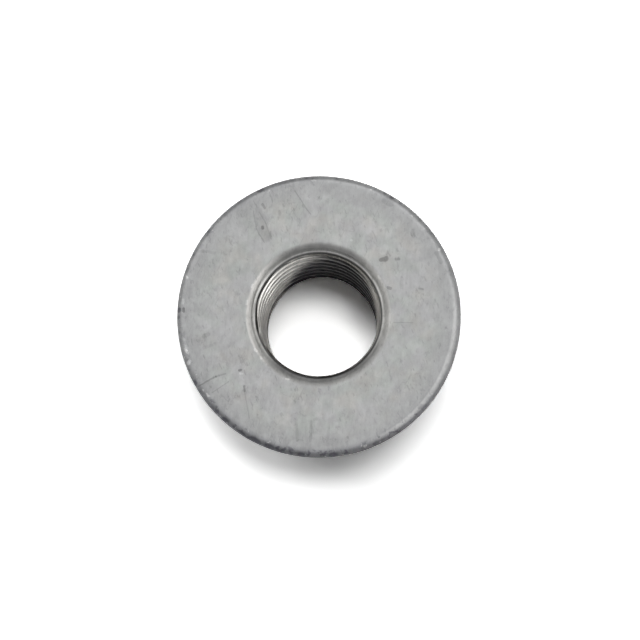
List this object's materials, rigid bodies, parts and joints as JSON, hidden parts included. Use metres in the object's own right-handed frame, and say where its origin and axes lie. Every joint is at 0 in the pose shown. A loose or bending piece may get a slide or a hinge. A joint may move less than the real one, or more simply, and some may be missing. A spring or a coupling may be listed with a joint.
{
  "type": "hex flange lock nut",
  "caption": "All-metal prevailing-torque hexagon nut with a flange, a plain bearing face, a rounded mouth and a crimped locking collar.",
  "frame": {"origin": "on the thread axis, in the plane of the collar's end, on which the nut stands with its bearing face up", "axes": "+Z along the thread axis from the locking collar to the bearing face, +X towards a corner of the hexagon, +Y across two flats"},
  "size_m": [0.0246, 0.0246, 0.0132],
  "materials": {
    "coated_steel": "matte zinc-flake coating, with rub marks and worn edges"
  },
  "bodies": {
    "root": {"flange_lock_nut": "coated_steel"}
  },
  "joints": []
}
